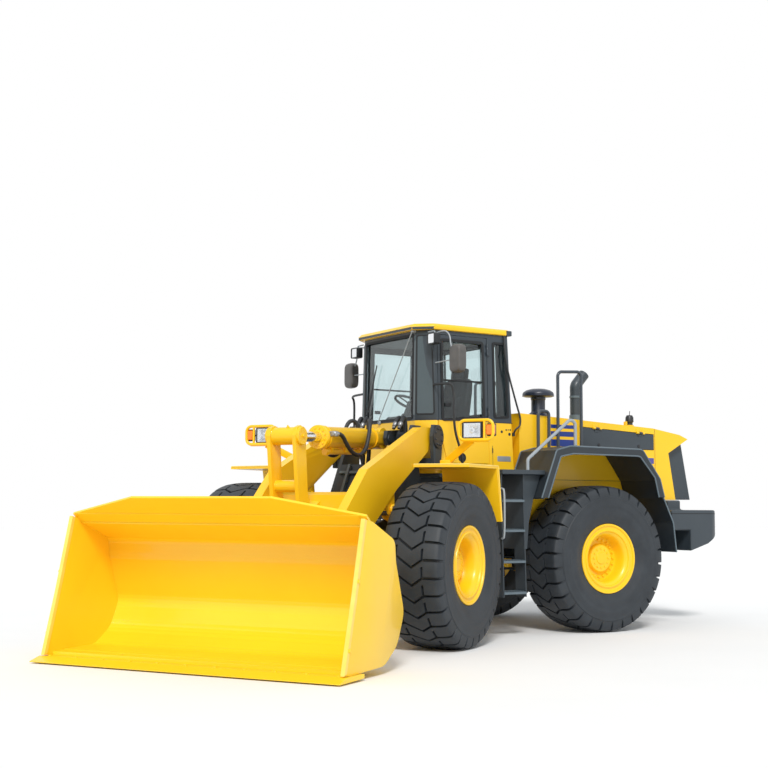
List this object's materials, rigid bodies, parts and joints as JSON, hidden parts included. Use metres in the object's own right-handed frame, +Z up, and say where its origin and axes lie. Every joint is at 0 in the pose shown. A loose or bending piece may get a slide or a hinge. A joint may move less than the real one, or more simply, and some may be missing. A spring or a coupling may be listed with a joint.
{
  "type": "wheel loader",
  "caption": "Articulated wheel loader with a Z-bar boom, wide bucket, four large lugged tyres, glazed cab, long hood and rear counterweight.",
  "frame": {"origin": "on the floor below the hinge between the two frames", "axes": "+X forward along the rear frame, +Y to the driver's left, +Z up"},
  "size_m": [8.8003, 5.3079, 3.5049],
  "materials": {
    "yellow_paint": "semi-gloss enamel",
    "dark_paint": "satin enamel",
    "tyre_rubber": "matt",
    "tinted_glass": "clear tint",
    "rod_chrome": "polished",
    "edge_steel": "painted steel",
    "seat_cloth": "woven",
    "cabin_plastic": "grained"
  },
  "bodies": {
    "rear_frame": {"rear_frame": "dark_paint", "rear_axle": "yellow_paint", "engine_block": "dark_paint", "counterweight": "dark_paint", "tow_hitch": "dark_paint", "hood": "yellow_paint", "rear_grille": "dark_paint", "rear_fenders": "dark_paint", "side_tanks": "dark_paint", "platforms": "dark_paint", "ladders": "dark_paint", "cab_base": "yellow_paint", "cab_frame": "dark_paint", "cab_roof": "yellow_paint", "cab_glass": "tinted_glass", "seat_base": "dark_paint", "seat_cushion": "seat_cloth", "steering_console": "cabin_plastic", "steering_wheel": "cabin_plastic", "air_cleaner": "dark_paint", "exhaust_stack": "dark_paint", "handrails": "dark_paint", "mirrors": "dark_paint", "roof_lamps": "dark_paint"},
    "cab_door_left": {"cab_door_left": "dark_paint", "door_glass_left": "tinted_glass"},
    "cab_door_right": {"cab_door_right": "dark_paint", "door_glass_right": "tinted_glass"},
    "hood_door_left": {"hood_door_left": "yellow_paint"},
    "hood_door_right": {"hood_door_right": "yellow_paint"},
    "front_frame": {"front_frame": "dark_paint", "front_axle": "yellow_paint", "front_fenders": "yellow_paint", "front_lamps": "yellow_paint"},
    "boom": {"boom": "yellow_paint"},
    "bell_crank": {"bell_crank": "yellow_paint"},
    "tilt_link": {"tilt_link": "yellow_paint"},
    "bucket": {"bucket": "yellow_paint", "cutting_edge": "edge_steel"},
    "lift_barrels": {"lift_barrels": "yellow_paint"},
    "lift_rods": {"lift_rods": "rod_chrome"},
    "tilt_barrel": {"tilt_barrel": "yellow_paint"},
    "tilt_rod": {"tilt_rod": "rod_chrome"},
    "steer_barrel_left": {"steer_barrel_left": "yellow_paint"},
    "steer_rod_left": {"steer_rod_left": "rod_chrome"},
    "steer_barrel_right": {"steer_barrel_right": "yellow_paint"},
    "steer_rod_right": {"steer_rod_right": "rod_chrome"},
    "wheel_front_left": {"tyre_front_left": "tyre_rubber", "rim_front_left": "yellow_paint"},
    "wheel_front_right": {"tyre_front_right": "tyre_rubber", "rim_front_right": "yellow_paint"},
    "wheel_rear_left": {"tyre_rear_left": "tyre_rubber", "rim_rear_left": "yellow_paint"},
    "wheel_rear_right": {"tyre_rear_right": "tyre_rubber", "rim_rear_right": "yellow_paint"}
  },
  "joints": [
    {"name": "steering", "type": "hinge", "parent": "rear_frame", "child": "front_frame", "pos_m": [0, 0, 0.9], "axis": [0, 0, 1], "range_deg": [-71.3, 8.7]},
    {"name": "boom_lift", "type": "hinge", "parent": "front_frame", "child": "boom", "pos_m": [0.65793, 0.40003, 2.2], "axis": [0.5195, -0.8545, 0], "range_deg": [0, 79.5]},
    {"name": "bucket_tilt", "type": "hinge", "parent": "boom", "child": "bucket", "pos_m": [2.81117, 1.70922, 0.4], "axis": [-0.5195, 0.8545, 0], "range_deg": [-45, 124]},
    {"name": "crank_turn", "type": "hinge", "parent": "boom", "child": "bell_crank", "pos_m": [2.36172, 1.43595, 1.2], "axis": [-0.5195, 0.8545, 0], "range_deg": [-37.22, 13.52]},
    {"name": "link_turn", "type": "hinge", "parent": "bell_crank", "child": "tilt_link", "pos_m": [2.47793, 1.5066, 0.516], "axis": [-0.5195, 0.8545, 0], "range_deg": [-45.47, 125.26]},
    {"name": "lift_barrel_turn", "type": "hinge", "parent": "front_frame", "child": "lift_barrels", "pos_m": [0.28197, 0.17144, 0.95], "axis": [0.5195, -0.8545, 0], "range_deg": [-0.02, 38.09]},
    {"name": "lift_rod_slide", "type": "slide", "parent": "lift_barrels", "child": "lift_rods", "axis": [0.8145, 0.4952, 0.3021], "range_m": [-0.0002, 1.13079]},
    {"name": "tilt_barrel_turn", "type": "hinge", "parent": "front_frame", "child": "tilt_barrel", "pos_m": [0.85446, 0.51952, 2.18], "axis": [0.5195, -0.8545, 0], "range_deg": [-0.02, 86.43]},
    {"name": "tilt_rod_slide", "type": "slide", "parent": "tilt_barrel", "child": "tilt_rod", "axis": [0.8539, 0.5192, -0.0359], "range_m": [-0.4602, 0.16714]},
    {"name": "steer_barrel_left_turn", "type": "hinge", "parent": "rear_frame", "child": "steer_barrel_left", "pos_m": [-1, 0.45, 0.77], "axis": [0, 0, 1], "range_deg": [-5.35, 0.67]},
    {"name": "steer_rod_left_slide", "type": "slide", "parent": "steer_barrel_left", "child": "steer_rod_left", "axis": [0.9977, -0.0683, 0], "range_m": [-0.05541, 0.45263]},
    {"name": "steer_barrel_right_turn", "type": "hinge", "parent": "rear_frame", "child": "steer_barrel_right", "pos_m": [-1, -0.45, 0.77], "axis": [0, 0, 1], "range_deg": [-8.13, 1.01]},
    {"name": "steer_rod_right_slide", "type": "slide", "parent": "steer_barrel_right", "child": "steer_rod_right", "axis": [0.9863, 0.1652, 0], "range_m": [-0.4359, 0.05336]},
    {"name": "cab_door_left_swing", "type": "hinge", "parent": "rear_frame", "child": "cab_door_left", "pos_m": [-0.497, 0.78561, 2.60053], "axis": [0, -0.0381, 0.9993], "range_deg": [0, 90]},
    {"name": "cab_door_right_swing", "type": "hinge", "parent": "rear_frame", "child": "cab_door_right", "pos_m": [-0.497, -0.78561, 2.60053], "axis": [0, -0.0381, -0.9993], "range_deg": [0, 90]},
    {"name": "hood_door_left_swing", "type": "hinge", "parent": "rear_frame", "child": "hood_door_left", "pos_m": [-1.88, 0.814, 2.397], "axis": [0.9989, 0, 0.0467], "range_deg": [0, 85]},
    {"name": "hood_door_right_swing", "type": "hinge", "parent": "rear_frame", "child": "hood_door_right", "pos_m": [-1.88, -0.814, 2.397], "axis": [-0.9989, 0, -0.0467], "range_deg": [0, 85]},
    {"name": "wheel_front_left_spin", "type": "hinge", "parent": "front_frame", "child": "wheel_front_left", "pos_m": [0.8765, 1.8788, 0.84], "axis": [-0.5195, 0.8545, 0], "continuous": true},
    {"name": "wheel_front_right_spin", "type": "hinge", "parent": "front_frame", "child": "wheel_front_right", "pos_m": [2.07139, -0.08646, 0.84], "axis": [-0.5195, 0.8545, 0], "continuous": true},
    {"name": "wheel_rear_left_spin", "type": "hinge", "parent": "rear_frame", "child": "wheel_rear_left", "pos_m": [-1.725, 1.15, 0.84], "axis": [0, 1, 0], "continuous": true},
    {"name": "wheel_rear_right_spin", "type": "hinge", "parent": "rear_frame", "child": "wheel_rear_right", "pos_m": [-1.725, -1.15, 0.84], "axis": [0, 1, 0], "continuous": true}
  ],
  "couplings": [
    {"joint": "crank_turn", "follows": "bucket_tilt", "ratio": -0.3},
    {"joint": "link_turn", "follows": "bucket_tilt", "ratio": 1.01},
    {"joint": "lift_barrel_turn", "follows": "boom_lift", "ratio": 0.4789},
    {"joint": "lift_rod_slide", "follows": "boom_lift", "m_per_rad": 0.81482},
    {"joint": "tilt_barrel_turn", "follows": "boom_lift", "ratio": 1.0869},
    {"joint": "tilt_rod_slide", "follows": "bucket_tilt", "m_per_rad": -0.21255},
    {"joint": "steer_barrel_left_turn", "follows": "steering", "ratio": 0.0748},
    {"joint": "steer_rod_left_slide", "follows": "steering", "m_per_rad": -0.36357},
    {"joint": "steer_barrel_right_turn", "follows": "steering", "ratio": 0.1138},
    {"joint": "steer_rod_right_slide", "follows": "steering", "m_per_rad": 0.35012}
  ]
}
